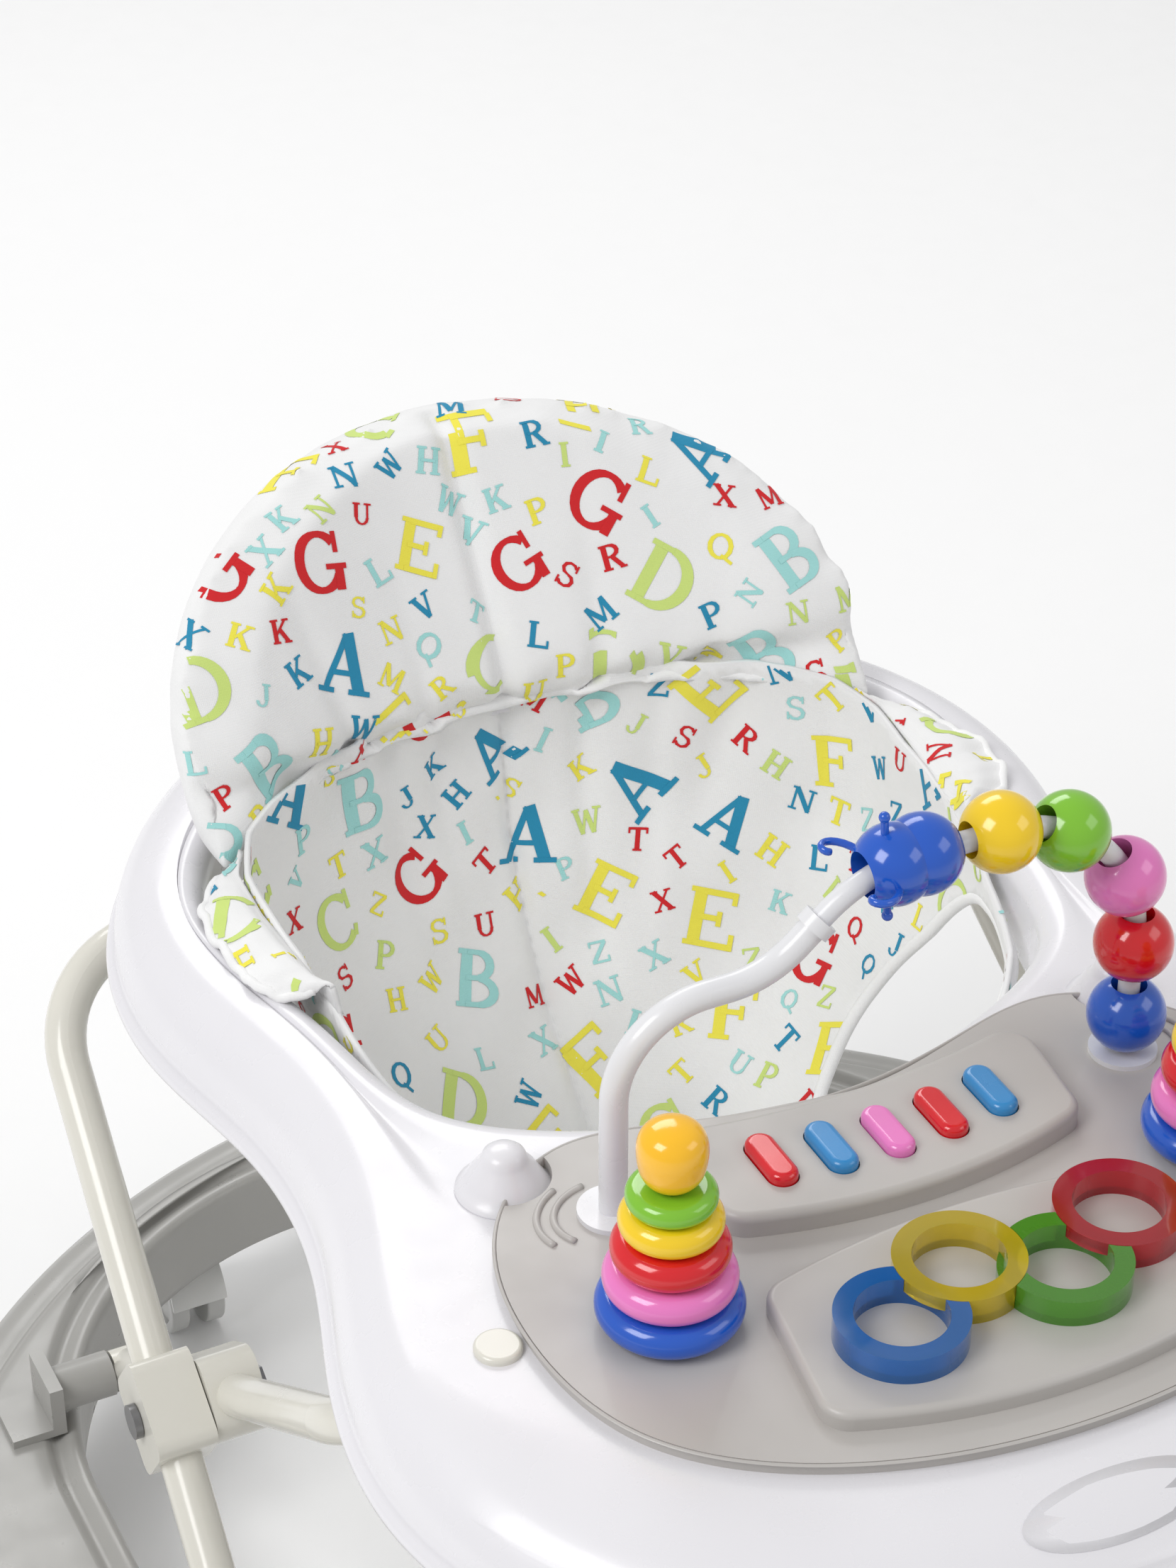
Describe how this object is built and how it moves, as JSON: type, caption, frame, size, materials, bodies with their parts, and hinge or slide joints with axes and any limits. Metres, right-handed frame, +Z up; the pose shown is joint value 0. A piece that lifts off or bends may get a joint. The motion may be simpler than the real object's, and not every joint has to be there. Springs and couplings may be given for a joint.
{
  "type": "baby walker",
  "caption": "Baby walker on a round caster base with a scissor-folding steel frame, an hourglass toy tray, a padded back and a fabric sling seat.",
  "frame": {"origin": "on the floor under the centre of the round base", "axes": "+Z up, -Y the way the child faces, X across"},
  "size_m": [0.6739, 0.674, 0.5145],
  "materials": {
    "base_grey": "satin",
    "caster_white": "satin",
    "caster_wheel": "matte",
    "frame_steel": "gloss",
    "white_plastic": "gloss",
    "cream_plastic": "satin",
    "bolt_steel": "satin",
    "tray_white": "gloss",
    "console_grey": "satin",
    "arch_white": "gloss",
    "print_fabric": "matte",
    "toy_blue": "gloss",
    "toy_pink": "gloss",
    "toy_red": "gloss",
    "toy_yellow": "gloss",
    "toy_green": "gloss",
    "toy_orange": "gloss",
    "link_blue": "gloss",
    "link_yellow": "gloss",
    "link_green": "gloss",
    "link_red": "gloss"
  },
  "bodies": {
    "base": {"base_ring": "base_grey", "front_slide_rails": "white_plastic", "rear_pivot_brackets": "white_plastic"},
    "caster_1": {"caster_fork_1": "caster_white"},
    "wheels_1": {"caster_wheels_1": "caster_wheel"},
    "caster_2": {"caster_fork_2": "caster_white"},
    "wheels_2": {"caster_wheels_2": "caster_wheel"},
    "caster_3": {"caster_fork_3": "caster_white"},
    "wheels_3": {"caster_wheels_3": "caster_wheel"},
    "caster_4": {"caster_fork_4": "caster_white"},
    "wheels_4": {"caster_wheels_4": "caster_wheel"},
    "caster_5": {"caster_fork_5": "caster_white"},
    "wheels_5": {"caster_wheels_5": "caster_wheel"},
    "caster_6": {"caster_fork_6": "caster_white"},
    "wheels_6": {"caster_wheels_6": "caster_wheel"},
    "caster_7": {"caster_fork_7": "caster_white"},
    "wheels_7": {"caster_wheels_7": "caster_wheel"},
    "caster_8": {"caster_fork_8": "caster_white"},
    "wheels_8": {"caster_wheels_8": "caster_wheel"},
    "front_leg": {"front_leg_frame": "frame_steel", "cross_saddles": "cream_plastic", "cross_bolts": "bolt_steel"},
    "rear_leg": {"rear_leg_frame": "frame_steel", "cross_sleeves": "white_plastic"},
    "tray": {"tray_shell": "tray_white", "tray_caps": "cream_plastic", "tray_bar_brackets": "white_plastic", "music_box": "console_grey", "toy_console": "console_grey", "play_arch": "arch_white", "back_board": "white_plastic", "back_pad": "print_fabric", "seat_sling": "print_fabric", "link_ring_1": "link_blue", "link_ring_2": "link_yellow", "link_ring_3": "link_green", "link_ring_4": "link_red", "cone_post_left": "toy_orange", "cone_post_right": "toy_orange"},
    "key_1": {"key_1": "toy_red"},
    "key_2": {"key_2": "toy_blue"},
    "key_3": {"key_3": "toy_pink"},
    "key_4": {"key_4": "toy_red"},
    "key_5": {"key_5": "toy_blue"},
    "bead_1": {"bead_1": "toy_blue"},
    "bead_2": {"bead_2": "toy_yellow"},
    "bead_3": {"bead_3": "toy_green"},
    "bead_4": {"bead_4": "toy_pink"},
    "bead_5": {"bead_5": "toy_red"},
    "bead_6": {"bead_6": "toy_blue"},
    "cone_ring_left_1": {"cone_ring_left_1": "toy_blue"},
    "cone_ring_left_2": {"cone_ring_left_2": "toy_pink"},
    "cone_ring_left_3": {"cone_ring_left_3": "toy_red"},
    "cone_ring_left_4": {"cone_ring_left_4": "toy_yellow"},
    "cone_ring_left_5": {"cone_ring_left_5": "toy_green"},
    "cone_ring_right_1": {"cone_ring_right_1": "toy_blue"},
    "cone_ring_right_2": {"cone_ring_right_2": "toy_pink"},
    "cone_ring_right_3": {"cone_ring_right_3": "toy_red"},
    "cone_ring_right_4": {"cone_ring_right_4": "toy_yellow"},
    "cone_ring_right_5": {"cone_ring_right_5": "toy_green"}
  },
  "joints": [
    {"name": "caster_1_swivel", "type": "hinge", "parent": "base", "child": "caster_1", "pos_m": [0.2901, 0.12016, 0.05], "axis": [0, 0, 1], "continuous": true},
    {"name": "wheels_1_roll", "type": "hinge", "parent": "caster_1", "child": "wheels_1", "pos_m": [0.2901, 0.13116, 0.021], "axis": [1, 0, 0], "continuous": true},
    {"name": "caster_2_swivel", "type": "hinge", "parent": "base", "child": "caster_2", "pos_m": [0.12016, 0.2901, 0.05], "axis": [0, 0, 1], "continuous": true},
    {"name": "wheels_2_roll", "type": "hinge", "parent": "caster_2", "child": "wheels_2", "pos_m": [0.12016, 0.3011, 0.021], "axis": [1, 0, 0], "continuous": true},
    {"name": "caster_3_swivel", "type": "hinge", "parent": "base", "child": "caster_3", "pos_m": [-0.12016, 0.2901, 0.05], "axis": [0, 0, 1], "continuous": true},
    {"name": "wheels_3_roll", "type": "hinge", "parent": "caster_3", "child": "wheels_3", "pos_m": [-0.12016, 0.3011, 0.021], "axis": [1, 0, 0], "continuous": true},
    {"name": "caster_4_swivel", "type": "hinge", "parent": "base", "child": "caster_4", "pos_m": [-0.2901, 0.12016, 0.05], "axis": [0, 0, 1], "continuous": true},
    {"name": "wheels_4_roll", "type": "hinge", "parent": "caster_4", "child": "wheels_4", "pos_m": [-0.2901, 0.13116, 0.021], "axis": [1, 0, 0], "continuous": true},
    {"name": "caster_5_swivel", "type": "hinge", "parent": "base", "child": "caster_5", "pos_m": [-0.2901, -0.12016, 0.05], "axis": [0, 0, 1], "continuous": true},
    {"name": "wheels_5_roll", "type": "hinge", "parent": "caster_5", "child": "wheels_5", "pos_m": [-0.2901, -0.10916, 0.021], "axis": [1, 0, 0], "continuous": true},
    {"name": "caster_6_swivel", "type": "hinge", "parent": "base", "child": "caster_6", "pos_m": [-0.12016, -0.2901, 0.05], "axis": [0, 0, 1], "continuous": true},
    {"name": "wheels_6_roll", "type": "hinge", "parent": "caster_6", "child": "wheels_6", "pos_m": [-0.12016, -0.2791, 0.021], "axis": [1, 0, 0], "continuous": true},
    {"name": "caster_7_swivel", "type": "hinge", "parent": "base", "child": "caster_7", "pos_m": [0.12016, -0.2901, 0.05], "axis": [0, 0, 1], "continuous": true},
    {"name": "wheels_7_roll", "type": "hinge", "parent": "caster_7", "child": "wheels_7", "pos_m": [0.12016, -0.2791, 0.021], "axis": [1, 0, 0], "continuous": true},
    {"name": "caster_8_swivel", "type": "hinge", "parent": "base", "child": "caster_8", "pos_m": [0.2901, -0.12016, 0.05], "axis": [0, 0, 1], "continuous": true},
    {"name": "wheels_8_roll", "type": "hinge", "parent": "caster_8", "child": "wheels_8", "pos_m": [0.2901, -0.10916, 0.021], "axis": [1, 0, 0], "continuous": true},
    {"name": "leg_fold", "type": "hinge", "parent": "base", "child": "front_leg", "pos_m": [0, 0.17, 0.104], "axis": [1, 0, 0], "range_deg": [0, 28]},
    {"name": "leg_cross", "type": "hinge", "parent": "front_leg", "child": "rear_leg", "pos_m": [0, 0.03975, 0.19863], "axis": [1, 0, 0], "range_deg": [-56, 0]},
    {"name": "tray_level", "type": "hinge", "parent": "rear_leg", "child": "tray", "pos_m": [0, 0.19508, 0.31149], "axis": [1, 0, 0], "range_deg": [0, 28]},
    {"name": "key_1_press", "type": "slide", "parent": "tray", "child": "key_1", "axis": [0, 0, -1], "range_m": [0, 0.0022], "stiffness_N_per_m": 300},
    {"name": "key_2_press", "type": "slide", "parent": "tray", "child": "key_2", "axis": [0, 0, -1], "range_m": [0, 0.0022], "stiffness_N_per_m": 300},
    {"name": "key_3_press", "type": "slide", "parent": "tray", "child": "key_3", "axis": [0, 0, -1], "range_m": [0, 0.0022], "stiffness_N_per_m": 300},
    {"name": "key_4_press", "type": "slide", "parent": "tray", "child": "key_4", "axis": [0, 0, -1], "range_m": [0, 0.0022], "stiffness_N_per_m": 300},
    {"name": "key_5_press", "type": "slide", "parent": "tray", "child": "key_5", "axis": [0, 0, -1], "range_m": [0, 0.0022], "stiffness_N_per_m": 300},
    {"name": "bead_1_spin", "type": "hinge", "parent": "tray", "child": "bead_1", "pos_m": [0.01024, -0.121, 0.49283], "axis": [0.9968, 0, 0.0794], "continuous": true},
    {"name": "bead_2_spin", "type": "hinge", "parent": "tray", "child": "bead_2", "pos_m": [0.04634, -0.121, 0.49296], "axis": [0.9993, 0, -0.0377], "continuous": true},
    {"name": "bead_3_spin", "type": "hinge", "parent": "tray", "child": "bead_3", "pos_m": [0.07437, -0.121, 0.48505], "axis": [0.8718, 0, -0.4899], "continuous": true},
    {"name": "bead_4_spin", "type": "hinge", "parent": "tray", "child": "bead_4", "pos_m": [0.0995, -0.121, 0.45864], "axis": [0.4458, 0, -0.8951], "continuous": true},
    {"name": "bead_5_spin", "type": "hinge", "parent": "tray", "child": "bead_5", "pos_m": [0.106, -0.121, 0.42815], "axis": [0, 0, -1], "continuous": true},
    {"name": "bead_6_spin", "type": "hinge", "parent": "tray", "child": "bead_6", "pos_m": [0.106, -0.121, 0.397], "axis": [0, 0, -1], "continuous": true},
    {"name": "cone_ring_left_1_spin", "type": "hinge", "parent": "tray", "child": "cone_ring_left_1", "pos_m": [-0.106, -0.177, 0.385], "axis": [0, 0, 1], "continuous": true},
    {"name": "cone_ring_left_2_spin", "type": "hinge", "parent": "tray", "child": "cone_ring_left_2", "pos_m": [-0.106, -0.177, 0.385], "axis": [0, 0, 1], "continuous": true},
    {"name": "cone_ring_left_3_spin", "type": "hinge", "parent": "tray", "child": "cone_ring_left_3", "pos_m": [-0.106, -0.177, 0.385], "axis": [0, 0, 1], "continuous": true},
    {"name": "cone_ring_left_4_spin", "type": "hinge", "parent": "tray", "child": "cone_ring_left_4", "pos_m": [-0.106, -0.177, 0.385], "axis": [0, 0, 1], "continuous": true},
    {"name": "cone_ring_left_5_spin", "type": "hinge", "parent": "tray", "child": "cone_ring_left_5", "pos_m": [-0.106, -0.177, 0.385], "axis": [0, 0, 1], "continuous": true},
    {"name": "cone_ring_right_1_spin", "type": "hinge", "parent": "tray", "child": "cone_ring_right_1", "pos_m": [0.106, -0.177, 0.385], "axis": [0, 0, 1], "continuous": true},
    {"name": "cone_ring_right_2_spin", "type": "hinge", "parent": "tray", "child": "cone_ring_right_2", "pos_m": [0.106, -0.177, 0.385], "axis": [0, 0, 1], "continuous": true},
    {"name": "cone_ring_right_3_spin", "type": "hinge", "parent": "tray", "child": "cone_ring_right_3", "pos_m": [0.106, -0.177, 0.385], "axis": [0, 0, 1], "continuous": true},
    {"name": "cone_ring_right_4_spin", "type": "hinge", "parent": "tray", "child": "cone_ring_right_4", "pos_m": [0.106, -0.177, 0.385], "axis": [0, 0, 1], "continuous": true},
    {"name": "cone_ring_right_5_spin", "type": "hinge", "parent": "tray", "child": "cone_ring_right_5", "pos_m": [0.106, -0.177, 0.385], "axis": [0, 0, 1], "continuous": true}
  ],
  "couplings": [
    {"joint": "leg_cross", "follows": "leg_fold", "ratio": -2},
    {"joint": "tray_level", "follows": "leg_fold", "ratio": 1}
  ]
}
